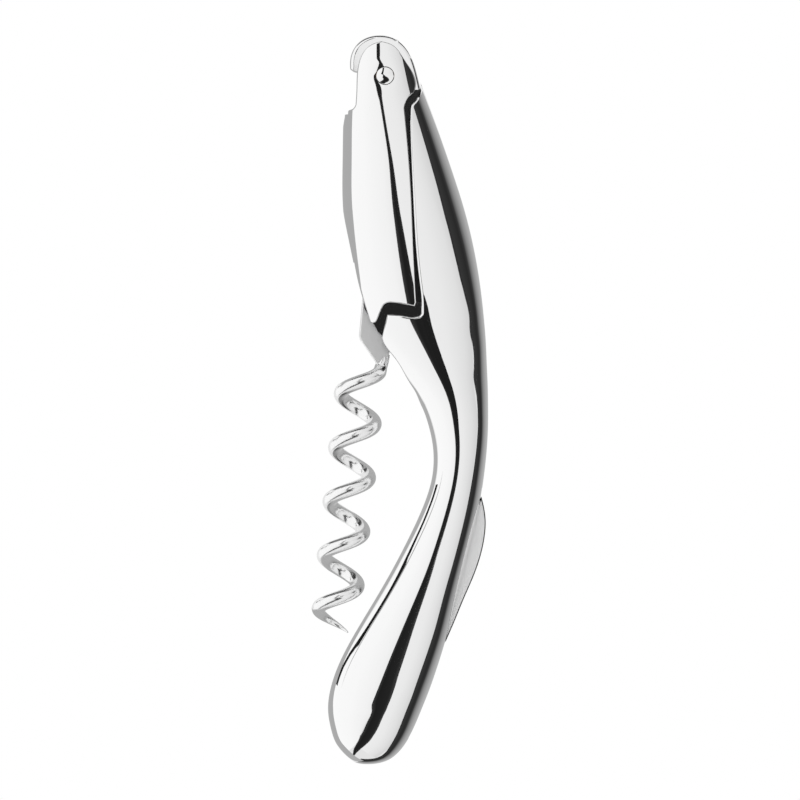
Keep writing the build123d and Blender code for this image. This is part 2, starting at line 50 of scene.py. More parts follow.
# The handle's casting and the lever's blank at stations along Y: y, left edge, right edge and
# half height.
HANDLE_STATIONS = [
    (58.9, -8.95, 2.85, 5.5),
    (54.0, -8.85, 4.7, 5.95),
    (48.0, -8.95, 6.9, 6.35),
    (41.0, -9.15, 9.3, 6.7),
    (34.0, -9.4, 11.5, 6.95),
    (27.0, -9.6, 13.2, 7.08),
    (21.0, -9.5, 14.25, 7.1),
    (17.0, -9.1, 14.75, 7.06),
    (14.0, -8.15, 15.05, 7.0),
    (11.0, -6.15, 15.3, 6.92),
    (8.0, -3.55, 15.45, 6.83),
    (5.0, -0.85, 15.58, 6.73),
    (2.0, 1.8, 15.7, 6.62),
    (-1.0, 3.8, 15.75, 6.51),
    (-4.0, 4.95, 15.75, 6.42),
    (-9.0, 5.95, 15.5, 6.3),
    (-14.0, 5.7, 14.95, 6.25),
    (-19.0, 4.15, 14.15, 6.27),
    (-25.0, 1.4, 12.8, 6.4),
    (-31.0, -1.75, 11.25, 6.6),
    (-37.0, -5.25, 9.7, 6.8),
    (-43.0, -8.8, 8.15, 6.98),
    (-48.0, -11.25, 6.6, 7.1),
    (-52.0, -12.5, 5.2, 7.15),
    (-55.5, -12.85, 3.8, 7.02),
    (-58.65, -12.35, 2.45, 6.6),
    (-61.15, -11.5, 1.1, 6.0),
    (-62.95, -10.15, -0.3, 5.1),
    (-64.2, -8.8, -1.9, 3.9),
    (-64.8, -7.75, -3.55, 2.6),
    (-65.0, -5.9, -5.9, 0.0),
]
LEVER_STATIONS = [
    (66.05, -8.35, 1.65, 4.9),
    (63.4, -8.8, 2.55, 5.2),
    (60.7, -9.15, 3.25, 5.45),
    (57.5, -9.5, 4.05, 5.7),
    (53.55, -9.9, 5.15, 6.0),
    (49.1, -10.15, 6.65, 6.3),
    (42.85, -10.25, 8.6, 6.65),
    (35.7, -10.25, 10.05, 6.9),
    (29.45, -9.7, 11.3, 7.05),
    (24.1, -8.9, 12.2, 7.1),
    (18.7, -7.8, 12.9, 7.1),
    (12.45, -6.1, 13.45, 7.1),
]
# How far the crest of the handle's crown stands to the right of its centre line, at each y.
# It is what makes the long reflections swing from side to side along the casting.
CREST_LEAN = [
    (60.0, 0.0),
    (36.0, 0.0),
    (28.0, 0.05),
    (22.0, 0.3),
    (17.0, 0.55),
    (12.0, 0.47),
    (7.0, 0.12),
    (2.0, -0.25),
    (-4.0, -0.4),
    (-9.0, -0.45),
    (-15.0, -0.5),
    (-21.5, -0.3),
    (-26.0, 0.0),
    (-30.0, 0.25),
    (-34.5, 0.42),
    (-39.0, 0.57),
    (-43.0, 0.72),
    (-47.5, 0.8),
    (-51.5, 0.6),
    (-56.0, 0.1),
    (-60.0, 0.0),
    (-65.0, 0.0),
]

# Where the three moving pieces turn, seen from above.
LEVER_PIVOT = (-2.65, 57.6)
WORM_PIVOT = (-3.55, 19.95)
KNIFE_PIVOT = (4.15, -44.35)

# Thicknesses across the middle plane.
TONGUE_THICKNESS = 4.8
PAINTED_SHADE_FLOOR_THICKNESS = 4.92
CHEEK_GAP = 5.42
WORM_SLOT = 2.46
KNIFE_SLOT = 1.96
LUG_THICKNESS = 1.9
BLADE_THICKNESS = 1.4

PIN_RADIUS = 1.55
PIN_GAP = 0.1
HUB_RADIUS = 3.0
TANG_RADIUS = 2.6

# How far the polishing wheel has rounded over the edges of the lever and of the handle.
LEVER_RIM = 0.24
HANDLE_RIM = 0.5

# The wheel's shallow hollow in the lever round its pivot: depth, and distance at which it fades.
DISH_DEPTH = 0.24
DISH_REACH = 1.8

# Points that lie closer than this, in metres, are one point.
WELD = 2e-6
# Degrees: an edge that turns further than this stays sharp, on castings and on flat plates.
CREASE = 40
PLATE_CREASE = 30
# Keep divisions from meeting zero.
TINY = 1e-9
LEAST_WIDTH = 1e-6
# Points along a casting's table of stations, and along its crest.
STATION_SAMPLES = 6000
CREST_SAMPLES = 3000


# ---- Curves in plan ----

def smooth(points):
    """A curve through points, as a function of the share of its length."""
    points = np.array(points, float)
    steps = np.linalg.norm(np.diff(points, axis=0), axis=1)
    at = np.concatenate([[0], np.cumsum(steps)])
    count = len(points)
    rows = np.eye(count)
    turns = np.zeros_like(points)
    for i in range(1, count - 1):
        rows[i, i - 1:i + 2] = steps[i - 1], 2 * (steps[i - 1] + steps[i]), steps[i]
        after = (points[i + 1] - points[i]) / steps[i]
        before = (points[i] - points[i - 1]) / steps[i - 1]
        turns[i] = 6 * (after - before)
    bend = np.linalg.solve(rows, turns)

    def place(share):
        length = np.clip(share, 0, 1) * at[-1]
        i = np.clip(np.searchsorted(at, length) - 1, 0, count - 2)
        step = steps[i][:, None]
        ahead = at[i + 1][:, None] - length[:, None]
        behind = length[:, None] - at[i][:, None]
        return (
            (bend[i] * ahead ** 3 + bend[i + 1] * behind ** 3) / (6 * step)
            + (points[i] / step - bend[i] * step / 6) * ahead
            + (points[i + 1] / step - bend[i + 1] * step / 6) * behind
        )

    return place


def straight(points):
    """A straight-sided line through points, as a function of the share of its length."""
    points = np.array(points, float)
    at = np.concatenate([[0], np.cumsum(np.linalg.norm(np.diff(points, axis=0), axis=1))])

    def place(share):
        return np.stack([np.interp(share * at[-1], at, axis) for axis in points.T], -1)

    return place


def arc(centre, radius, start, end):
    """A round stretch, from one angle in degrees to another."""
    def place(share):
        angle = np.radians(start + (end - start) * share)
        return np.stack([
            centre[0] + radius * np.cos(angle),
            centre[1] + radius * np.sin(angle),
        ], -1)

    return place


def part_of(curve, start, end):
    """The stretch of a curve between two shares of its length."""
    return lambda share: curve(start + (end - start) * share)


def chain(*stretches):
    """Points along stretches of (curve, steps), end to end."""
    parts = [place(np.linspace(0, 1, steps + 1))[1:] for place, steps in stretches]
    first = stretches[0][0](np.zeros(1))
    return np.concatenate([first] + parts)


def inward(line, side):
    """Vectors one unit deep, square to a line of points, to its left (1) or its right (-1)."""
    step = np.diff(line, axis=0)
    step /= np.maximum(np.linalg.norm(step, axis=1), TINY)[:, None]
    square = np.stack([-step[:, 1], step[:, 0]], -1) * side
    before = np.concatenate([square[:1], square])
    after = np.concatenate([square, square[-1:]])
    both = before + after
    # At a very sharp corner the vector is held back, so that it doesn't shoot out.
    sharpest = 0.5
    return both / np.maximum((both * before).sum(1), sharpest)[:, None]


# ---- Crowned castings: at every y an ellipse about the middle plane, with a leaning crest ----

NO_LEAN = ((60, 0), (0, 0), (-60, 0))


class Crown:
    """A crowned surface. A place on it has an angle, from 0 on its right edge to pi on its left."""

    def __init__(self, stations, lean=NO_LEAN, dish=0.0):
        table = smooth(stations)(np.linspace(0, 1, STATION_SAMPLES))
        self.run = table[:, 0]
        self.table = table[np.argsort(table[:, 0])]
        self.crest = smooth(lean)(np.linspace(1, 0, CREST_SAMPLES))
        self.dish = dish

    def at(self, y):
        """Centre, half width, half height and lean of the crest."""
        left, right, half = (np.interp(y, self.table[:, 0], self.table[:, k]) for k in (1, 2, 3))
        width = np.maximum((right - left) / 2, LEAST_WIDTH)
        lean = np.interp(y, *self.crest.T)
        return (left + right) / 2, width, np.maximum(half, LEAST_WIDTH), lean

    def angle(self, x, y):
        """The angle of the place that is seen at x, y from above."""
        centre, width, _, lean = self.at(y)
        off = x - centre - lean
        root = np.sqrt(np.maximum(width ** 2 - 4 * lean * off, 0))
        return np.arccos(np.clip(2 * off / (width + root), -1, 1))

    def point(self, angle, y):
        """The place at this angle, in three dimensions."""
        centre, width, half, lean = self.at(y)
        rise = np.sin(angle)
        across = centre + width * np.cos(angle) + lean * rise ** 2
        return np.stack([across, y, MIDDLE + half * rise - self.dip(across, y) * rise], -1)

    def dip(self, x, y):
        """How deep the crown is dished round the lever's pivot."""
        away = (x - LEVER_PIVOT[0]) ** 2 + (y - LEVER_PIVOT[1]) ** 2
        return self.dish * np.exp(-away / DISH_REACH ** 2)

    def level(self, points):
        """Zero on the crown, and its slope there points outwards."""
        centre, width, half, lean = self.at(points[:, 1])
        rise = (points[:, 2] - MIDDLE) / (half - self.dip(points[:, 0], points[:, 1]))
        return ((points[:, 0] - centre - lean * rise ** 2) / width) ** 2 + rise ** 2 - 1

    def rows(self, start, end, steps):
        """Values of y from start to end, closer together where the casting rounds off."""
        inside = self.run[(self.run <= start) & (self.run >= end)]
        count = len(inside)
        return np.interp(np.linspace(0, count - 1, steps + 1), np.arange(count), inside)


class Edge:
    """A cut edge of a crowned casting: its outline, and a rim rounded over towards it."""

    def __init__(self, crown, line, side, rim):
        angle = crown.angle(line[:, 0], line[:, 1])
        self.corner = crown.point(angle, line[:, 1])
        tall = self.corner[:, 2] - MIDDLE
        depth = np.minimum(rim, tall / 2)
        inner = self.corner[:, :2] + inward(self.corner[:, :2], side) * depth[:, None]
        self.angle = crown.angle(inner[:, 0], inner[:, 1])
        self.y = inner[:, 1]
        self.inner = crown.point(self.angle, self.y)
        self.low = self.corner - np.stack([0 * depth, 0 * depth, depth], -1)

    def rim(self, row, share):
        """From the crown (0) over the rounded rim to the top of the wall (1)."""
        share = share[:, None]
        return (
            self.inner[row] * (1 - share) ** 2
            + self.corner[row] * 2 * share * (1 - share)
            + self.low[row] * share ** 2
        )

    def foot(self, row):
        """The wall's points on the middle plane."""
        return np.concatenate([self.corner[row][:, :2], np.full((len(row), 1), MIDDLE)], 1)


# ---- Ways to make and finish a mesh ----

def only(made):
    """Selects this piece and nothing else."""
    bpy.ops.object.select_all(action="DESELECT")
    made.select_set(True)
    bpy.context.view_layer.objects.active = made


def read(items, key, width=1, kind=float):
    """A value, or a row of width values, from each of a mesh's items."""
    values = np.empty(len(items) * width, kind)
    items.foreach_get(key, values)
    return values if width == 1 else values.reshape(-1, width)


def sheet(name, columns, rows, place):
    """A grid whose points are put at place(column, row)."""
    bpy.ops.object.select_all(action="DESELECT")
    bpy.ops.mesh.primitive_grid_add(x_subdivisions=columns, y_subdivisions=rows, size=1)
    made = bpy.context.object
    made.name = made.data.name = name
    # The new grid's middle is at the origin, so half its size makes these shares of its sides.
    share = read(made.data.vertices, "co", 3) + 0.5
    column = np.rint(share[:, 0] * columns).astype(int)
    row = np.rint(share[:, 1] * rows).astype(int)
    made.data.vertices.foreach_set("co", (place(column, row) * MM).ravel())
    made.data.update()
    return made


def merge(made):
    """Welds points that meet and turns all faces outwards."""
    only(made)
    bpy.ops.object.mode_set(mode="EDIT")
    bpy.ops.mesh.select_all(action="SELECT")
    bpy.ops.mesh.remove_doubles(threshold=WELD)
    bpy.ops.mesh.dissolve_degenerate(threshold=WELD)
    bpy.ops.mesh.select_all(action="SELECT")
    bpy.ops.mesh.normals_make_consistent(inside=False)
    bpy.ops.object.mode_set(mode="OBJECT")


def modify(made, kind, **settings):
    """Adds a modifier with these settings and applies it."""
    only(made)
    modifier = made.modifiers.new(kind, kind)
    for key, value in settings.items():
        setattr(modifier, key, value)
    bpy.ops.object.modifier_apply(modifier=modifier.name)


def raise_by(made, height):
    """Moves all of a mesh straight up."""
    only(made)
    bpy.ops.object.mode_set(mode="EDIT")
    bpy.ops.mesh.select_all(action="SELECT")
    bpy.ops.transform.translate(value=(0, 0, height * MM))
    bpy.ops.object.mode_set(mode="OBJECT")


def both_sides(made):
    """Mirrors the upper half about the middle plane."""
    raise_by(made, -MIDDLE)
    modify(
        made, "MIRROR", use_axis=(False, False, True), use_mirror_merge=True, merge_threshold=WELD
    )
    raise_by(made, MIDDLE)
    merge(made)


def plate(name, outline, bottom, top, rim=0.0, segments=3, rounded=None):
    """A flat plate cut to an outline. The edges along its first points, or along all of them where
    rounded is None, are rounded over by rim."""
    bpy.ops.object.select_all(action="DESELECT")
    bpy.ops.mesh.primitive_circle_add(vertices=len(outline), radius=1, fill_type="NGON")
    made = bpy.context.object
    made.name = made.data.name = name
    for vertex, (x, y) in zip(made.data.vertices, outline):
        vertex.co = (x * MM, y * MM, bottom * MM)
    bpy.ops.object.mode_set(mode="EDIT")
    bpy.ops.mesh.select_all(action="SELECT")
    bpy.ops.mesh.extrude_region_move(
        TRANSFORM_OT_translate={"value": (0, 0, (top - bottom) * MM)}
    )
    bpy.ops.mesh.select_all(action="SELECT")
    bpy.ops.mesh.normals_make_consistent(inside=False)
    bpy.ops.mesh.select_all(action="DESELECT")
    bpy.ops.mesh.select_mode(type="EDGE")
    bpy.ops.object.mode_set(mode="OBJECT")
    if rim:
        points = made.data.vertices
        decimals = 3
        soft = {(round(x, decimals), round(y, decimals)) for x, y in outline[:rounded]}
        for edge in made.data.edges:
            ends = [points[i].co / MM for i in edge.vertices]
            level = round(ends[0].z - ends[1].z, decimals) == 0
            edge.select = level and all(
                (round(end.x, decimals), round(end.y, decimals)) in soft for end in ends
            )
        bpy.ops.object.mode_set(mode="EDIT")
        bpy.ops.mesh.bevel(offset=rim * MM, segments=segments, profile=0.5, clamp_overlap=False)
        bpy.ops.object.mode_set(mode="OBJECT")
    return made


def middle_plate(name, outline, thickness, **rounding):
    """A plate that lies half above and half below the middle plane."""
    return plate(name, outline, MIDDLE - thickness / 2, MIDDLE + thickness / 2, **rounding)


def flatten(made):
    """Keeps flat faces flat to the eye beside their rounded edges."""
    modify(made, "WEIGHTED_NORMAL", keep_sharp=True, weight=100)


def cut(made, *tools):
    """Takes the tools' shapes out of a piece, and the tools away."""
    for tool in tools:
        modify(made, "BOOLEAN", operation="DIFFERENCE", solver="EXACT", object=tool)
        bpy.data.objects.remove(tool)


def polish(made, crown=None, crease=CREASE):
    """Smooth shading up to a crease's angle, and on a crowned casting the true normals of its
    crown, so that cuts through it don't bend the reflections beside them."""
    only(made)
    bpy.ops.object.shade_smooth_by_angle(angle=radians(crease))
    if crown is None:
        return
    on_crown, small_step, faces_out = 8e-4, 0.02, 0.8
    data = made.data
    places = read(data.vertices, "co", 3) / MM
    on = np.abs(crown.level(places)) < on_crown
    slope = np.zeros_like(places)
    for axis, nudge in enumerate(np.eye(3) * small_step):
        slope[:, axis] = crown.level(places + nudge) - crown.level(places - nudge)
    slope /= np.maximum(np.linalg.norm(slope, axis=1), TINY)[:, None]
    corner = read(data.corner_normals, "vector", 3)
    vertex = read(data.loops, "vertex_index", kind=int)
    corners_of_face = read(data.polygons, "loop_total", kind=int)
    face = np.repeat(read(data.polygons, "normal", 3), corners_of_face, axis=0)
    keep = on[vertex] & ((face * slope[vertex]).sum(1) > faces_out)
    corner[keep] = slope[vertex][keep]
    data.normals_split_custom_set([tuple(normal) for normal in corner])


# ---- Handle: crowned casting with a stepped recess for the lever ----

handle_crown = Crown(HANDLE_STATIONS, CREST_LEAN)
NOSE_FILLET_CENTRE = (3.2, 15.5)
NOSE_FILLET_RADIUS = 0.6
recess_edge = smooth([
    (3.65, 56.8),
    (3.62, 55.6),
    (3.3, 54.5),
    (2.75, 53.4),
    (2.05, 52.5),
    (1.8, 51.6),
    (1.75, 50.0),
    (1.9, 44.65),
    (2.3, 35.7),
    (2.8, 26.75),
    (3.4, 21.0),
    (3.7, 18.5),
    (3.8, 16.8),
    (3.8, 15.5),
])
nose_top = smooth([(3.2, 14.9), (2.2, 14.7), (1.0, 14.88), (-0.3, 15.05), (-2.25, 15.15)])
nose_side = smooth([
    (-2.25, 15.15),
    (-2.65, 13.35),
    (-3.0, 11.95),
    (-3.08, 10.7),
    (-2.65, 9.75),
    (-1.9, 8.7),
    (-0.85, 7.4),
    (0.05, 6.05),
    (0.95, 4.4),
    (2.0, 2.65),
    (2.8, 1.35),
    (3.42, -0.1),
    (3.8, -1.0),
])


def handle_shell():
    """Rows run from the casting's edge on the recess, nose and bay to its bowed back."""
    edge_steps, fillet_steps, top_steps, side_steps, body_steps = 130, 8, 24, 90, 180
    # The rims of rows closer than these to the nose's sharp corner would fold over each other.
    last_on_top, first_on_side = 0.88, 0.035
    line = chain(
        (recess_edge, edge_steps),
        (arc(NOSE_FILLET_CENTRE, NOSE_FILLET_RADIUS, 0, -90), fillet_steps),
        (part_of(nose_top, 0, last_on_top), top_steps - 1),
        (part_of(nose_top, last_on_top, 1), 1),
        (part_of(nose_side, 0, first_on_side), 1),
        (part_of(nose_side, first_on_side, 1), side_steps - 1),
    )
    nose_end = line[-1, 1]
    below_nose = handle_crown.rows(nose_end, HANDLE_STATIONS[-1][0], body_steps)[1:]
    centre, width, _, _ = handle_crown.at(below_nose)
    line = np.concatenate([line, np.stack([centre - width, below_nose], -1)])
    edge = Edge(handle_crown, line, 1, HANDLE_RIM)
    # Where each row meets the bowed back, spread evenly past the nose's fillet.
    fillet_back = 14.2
    back = np.concatenate([
        line[:edge_steps + 1, 1],
        np.linspace(line[edge_steps, 1], fillet_back, fillet_steps + 1)[1:],
        np.linspace(fillet_back, nose_end, top_steps + side_steps + 1)[1:],
        below_nose,
    ])
    across, rim_steps = 76, 4

    def place(column, row):
        share = np.minimum(column / across, 1)
        y = back[row] + (edge.y[row] - back[row]) * share
        points = handle_crown.point(edge.angle[row] * share, y)
        over = column > across
        points[over] = edge.rim(row[over], (column[over] - across) / rim_steps)
        foot = column > across + rim_steps
        points[foot] = edge.foot(row[foot])
        return points

    made = sheet("handle_shell", across + rim_steps + 1, len(line) - 1, place)
    merge(made)
    both_sides(made)
    return made


shell = handle_shell()
worm_slot = [
    (-3.9, 40.7),
    (0.05, 40.7),
    (0.75, 19.6),
    (0.75, 9.8),
    (0.2, 6.4),
    (-10.7, 6.4),
    (-10.7, 23.9),
    (-4.8, 23.9),
    (-4.6, 35.7),
]
knife_slot = [
    (18.0, -15.05),
    (12.55, -16.15),
    (11.1, -20.6),
    (8.6, -29.55),
    (5.4, -37.95),
    (0.4, -40.45),
    (-0.65, -42.95),
    (-1.75, -53.65),
    (-1.4, -57.95),
    (0.8, -58.6),
    (1.6, -60.5),
    (18.0, -60.5),
]
cut(
    shell,
    middle_plate("tool", worm_slot, WORM_SLOT),
    middle_plate("tool", knife_slot, KNIFE_SLOT),
)
polish(shell, handle_crown)
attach(shell, "handle")
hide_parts("handle_body")

# ---- Tongue and cap hook ----

HOOK_STEPS = 90
hook_curve = smooth([
    (3.65, 55.4),
    (2.8, 58.9),
    (2.0, 61.15),
    (0.75, 63.1),
    (-1.05, 64.5),
    (-3.15, 65.0),
    (-5.5, 64.75),
    (-7.2, 63.85),
    (-8.35, 62.4),
    (-8.9, 60.4),
    (-8.9, 59.2),
])
mouth_and_side = [
    (-8.9, 59.2),
    (-8.6, 58.75),
    (-7.6, 58.75),
    (-7.6, 39.25),
    (-7.35, 33.0),
    (-6.55, 25.85),
]
worm_end = [
    (-6.55, 25.85),
    (-6.55, 17.8),
    (-6.35, 16.3),
    (-4.75, 13.7),
    (-3.7, 11.75),
    (-2.6, 11.3),
]
inside_handle = [
    (-2.6, 11.3),
    (0.05, 10.3),
    (6.5, 11.55),
    (8.25, 17.8),
    (7.2, 32.1),
    (5.75, 44.65),
    (3.65, 55.4),
]
tongue_outline = chain(
    (hook_curve, HOOK_STEPS),
    (straight(mouth_and_side), 40),
    (straight(worm_end), 20),
    (straight(inside_handle), 40),
)[:-1]
tongue = middle_plate(
    "tongue_and_hook",
    tongue_outline,
    TONGUE_THICKNESS,
    rim=0.7,
    segments=6,
    rounded=HOOK_STEPS + 1,
)
cut(tongue, middle_plate("tool", worm_slot, WORM_SLOT))
polish(tongue, crease=PLATE_CREASE)
flatten(tongue)
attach(tongue, "handle")

# Painted shade: a thin dark plate on the recess's floor stands for the shade that shows as a thin
# dark line between lever and handle.
handle_side = [
    (3.85, 17.5),
    (3.55, 21.0),
    (2.95, 26.75),
    (2.45, 35.7),
    (2.05, 44.65),
    (1.9, 50.0),
    (1.95, 51.6),
]
lever_side = [(0.45, 51.8), (1.1, 44.65), (1.65, 35.7), (2.0, 26.75), (2.5, 17.5), (3.85, 17.5)]
painted_shade_floor_outline = chain(
    (straight(handle_side), 30),
    (straight([(1.95, 51.6), (2.2, 52.5), (2.9, 53.4), (3.45, 54.5), (3.6, 55.3)]), 10),
    (straight([(3.6, 55.3), (2.5, 55.3), (2.0, 54.55), (0.9, 53.35), (0.45, 51.8)]), 10),
    (straight(lever_side), 30),
)[:-1]
painted_shade_recess_floor = middle_plate("painted_shade_recess_floor", painted_shade_floor_outline, PAINTED_SHADE_FLOOR_THICKNESS)
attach(painted_shade_recess_floor, "handle")

# ---- Boot lever: crowned cheeks, a web along the flank, a claw ----

lever_crown = Crown(LEVER_STATIONS, dish=DISH_DEPTH)
flank = smooth([
    (-5.35, 14.25),
    (-6.55, 17.8),
    (-7.75, 22.1),
    (-9.15, 28.55),
    (-10.3, 35.0),
    (-10.5, 42.85),
    (-10.2, 48.5),
    (-9.85, 50.5),
])


def lever_shell():
    """Columns run from the edge beside the recess to the flank, and rows from the claw to the head.
    Each stretch of one edge has as many rows as the stretch across from it."""
    tip = (-4.8, 13.75)
    head_top = (-3.35, 63.75)
    # The stretches of the claw have 44 rows in all, on either edge.
    claw, corner, side, throat, head = 44, 4, 110, 20, 60
    claw_end, corner_end = 0.14, 0.16
    right = chain(
        (smooth([tip, (-4.4, 13.85), (-4.1, 14.3)]), 6),
        (straight([(-4.1, 14.3), (-3.15, 16.45)]), 8),
        (smooth([(-3.15, 16.45), (-2.75, 17.0), (-2.1, 17.28)]), 10),
        (smooth([(-2.1, 17.28), (-1.4, 17.3), (0.6, 17.0), (2.6, 16.65)]), 20),
        (straight([(2.6, 16.65), (2.85, 17.3)]), corner),
        (smooth([(2.85, 17.3), (2.35, 26.75), (2.0, 35.7), (1.45, 44.65), (0.8, 51.8)]), side),
        (smooth([(0.8, 51.8), (1.25, 53.35), (2.35, 54.55)]), throat),
        (smooth([
            (2.35, 54.55),
            (2.85, 55.9),
            (2.75, 57.15),
            (2.0, 58.85),
            (0.75, 60.7),
            (-1.2, 63.05),
            head_top,
        ]), head),
    )
    left = chain(
        (smooth([tip, (-5.15, 13.88), (-5.35, 14.25)]), 6),
        (part_of(flank, 0, claw_end), claw - 6),
        (part_of(flank, claw_end, corner_end), corner),
        (part_of(flank, corner_end, 1), side),
        (smooth([(-9.85, 50.5), (-9.65, 51.3), (-9.1, 51.6), (-8.3, 51.9), (-7.9, 52.5)]), throat),
        (smooth([
            (-7.9, 52.5),
            (-7.75, 55.0),
            (-7.5, 59.3),
            (-6.75, 61.5),
            (-5.3, 63.05),
            head_top,
        ]), head),
    )
    outer = Edge(lever_crown, right, 1, LEVER_RIM)
    inner = Edge(lever_crown, left, -1, LEVER_RIM)
    across, rim_steps = 72, 4
    first = rim_steps + 1

    def place(column, row):
        share = np.clip((column - first) / across, 0, 1)
        y = outer.y[row] + (inner.y[row] - outer.y[row]) * share
        angle = outer.angle[row] + (inner.angle[row] - outer.angle[row]) * share
        points = lever_crown.point(angle, y)
        near = column < first
        points[near] = outer.rim(row[near], (first - column[near]) / rim_steps)
        far = column > first + across
        points[far] = inner.rim(row[far], (column[far] - first - across) / rim_steps)
        foot = column == 0
        points[foot] = outer.foot(row[foot])
        foot = column == 2 * first + across
        points[foot] = inner.foot(row[foot])
        return points

    made = sheet("lever_shell", across + 2 * first, len(right) - 1, place)
    merge(made)
    both_sides(made)
    return made


lever = lever_shell()
web_wall = [
    (-7.1, 25.4),
    (-7.55, 28.55),
    (-8.7, 35.0),
    (-8.9, 42.85),
    (-8.6, 48.5),
    (-8.3, 50.9),
]
channel = [
    (-20.0, 70.0),
    (-20.0, 50.9),
    *reversed(web_wall),
    (-6.9, 24.6),
    (-20.0, 24.6),
    (-20.0, 5.0),
    (10.0, 5.0),
    (10.0, 70.0),
]
pin_hole = chain((arc(LEVER_PIVOT, PIN_RADIUS + PIN_GAP, 0, 360), 64))[:-1]
cut(
    lever,
    middle_plate("tool", channel, CHEEK_GAP),
    plate("tool", pin_hole, bottom=-1, top=16),
)
polish(lever, lever_crown)
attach(lever, "lever")
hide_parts("lever")

# ---- Pivot heads ----

# The heads' domes: how much they rise, and how far their tops are from the middle plane.
DOME_DEPTH = 0.3
DOME_TOP = 5.8
PIN_EDGE = 0.08


def pin_head(name, sign):
    """A domed head that fills the lever's hole, on the upper side (1) or the lower (-1)."""
    steps, around = 14, 96
    dome_radius = (PIN_RADIUS ** 2 + DOME_DEPTH ** 2) / (2 * DOME_DEPTH)

    def place(column, row):
        angle = column / around * tau
        away = np.minimum(row / steps, 1) * PIN_RADIUS
        height = DOME_TOP - dome_radius + np.sqrt(dome_radius ** 2 - away ** 2)
        height = np.where(row > steps, CHEEK_GAP / 2, height)
        return np.stack([
            LEVER_PIVOT[0] + away * np.cos(angle),
            LEVER_PIVOT[1] + away * np.sin(angle),
            MIDDLE + sign * height,
        ], -1)

    made = sheet(name, around, steps + 1, place)
    merge(made)
    modify(
        made,
        "BEVEL",
        width=PIN_EDGE * MM,
        segments=3,
        limit_method="ANGLE",
        angle_limit=radians(CREASE),
    )
    polish(made)
    return made


pivot_heads = []
for name, sign, hidden in (
    ("pivot_head_upper", 1, "lever_pivot_barrel"),
    ("pivot_head_lower", -1, "lever_pivot_screw"),
):
    head = pin_head(name, sign)
    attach(head, "handle")
    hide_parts(hidden)
    pivot_heads.append(head)

# ---- Worm ----

WIRE_RADIUS = 1.25
WORM_RADIUS = 3.3
WORM_PITCH = 9.685
WORM_TURNS = 4.4
WORM_START = np.array([-6.8, 5.65, MIDDLE])
WORM_END = np.array([-11.83, -42.2, MIDDLE])
# The last half turn is ground to a point, slowly at first.
TIP_TURNS = 0.48
TIP_RADIUS = 0.12
TIP_CURVE = 1.4
# The wire leaves the lug along its middle line and runs into the helix a little past its start.
WORM_ROOT = [(-2.7, 8.2, MIDDLE), (-3.0, 7.0, MIDDLE), (-3.35, 6.0, MIDDLE + 0.1)]
ROOT_RADIUS = 0.9
JOIN_TURN = 0.05
JOIN_STEP = 0.03


def worm_wire():
    """Columns run round the wire, and rows from its root to its point."""
    axis = WORM_END - WORM_START
    axis /= np.linalg.norm(axis)
    side = np.array([-axis[1], axis[0], 0.0])
    up = np.cross(axis, side)
    root_steps, turns_steps, tip_steps, around = 40, 420, 60, 40
    total = root_steps + turns_steps + tip_steps

    def helix(turn):
        angle = np.asarray(turn)[:, None] * tau
        outward = np.cos(angle) * side + np.sin(angle) * up
        return WORM_START + outward * WORM_RADIUS + axis * (WORM_PITCH * angle / tau)

    turns = np.concatenate([
        np.linspace(JOIN_TURN, WORM_TURNS, turns_steps + 1),
        np.linspace(WORM_TURNS, WORM_TURNS + TIP_TURNS, tip_steps + 1)[1:],
    ])
    root = smooth([*WORM_ROOT, *helix([JOIN_TURN, JOIN_TURN + JOIN_STEP])])(np.linspace(0, 1, 200))
    past = np.linalg.norm(root - helix([JOIN_TURN]), axis=1).argmin()
    root = root[np.linspace(0, past, root_steps + 1).astype(int)[:-1]]
    centre = np.concatenate([root, helix(turns)])
    along = np.gradient(centre, axis=0)
    along /= np.linalg.norm(along, axis=1)[:, None]
    outward = centre - WORM_START
    outward -= (outward @ axis)[:, None] * axis
    outward -= (outward * along).sum(1)[:, None] * along
    outward /= np.linalg.norm(outward, axis=1)[:, None]
    square = np.cross(along, outward)
    taper = np.clip((turns - WORM_TURNS) / TIP_TURNS, 0, 1) ** TIP_CURVE
    thick = np.concatenate([
        np.linspace(ROOT_RADIUS, WIRE_RADIUS, root_steps),
        WIRE_RADIUS + (TIP_RADIUS - WIRE_RADIUS) * taper,
    ])

    def place(column, row):
        at = np.clip(row - 1, 0, total)
        radius = np.where((row == 0) | (row == total + 2), 0, thick[at])[:, None]
        turn = (column / around * tau)[:, None]
        return centre[at] + radius * (np.cos(turn) * outward[at] + np.sin(turn) * square[at])

    made = sheet("worm_wire", around, total + 2, place)
    merge(made)
    return made


wire = worm_wire()
polish(wire)
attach(wire, "worm")
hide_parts("worm")

lug_outline = chain(
    (arc(WORM_PIVOT, HUB_RADIUS, 0, 180), 40),
    (straight([(-6.55, 19.95), (-6.7, 18.35), (-7.35, 11.05), (-4.4, 6.75), (-3.55, 5.3)]), 24),
    (straight([
        (-3.55, 5.3),
        (-2.2, 6.3),
        (-2.0, 8.2),
        (-1.05, 10.7),
        (-0.6, 17.8),
        (-0.55, 19.95),
    ]), 24),
)[:-1]
lug = middle_plate("worm_lug", lug_outline, LUG_THICKNESS, rim=0.3, segments=4)
polish(lug, crease=PLATE_CREASE)
flatten(lug)
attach(lug, "worm")

# ---- Knife blade ----

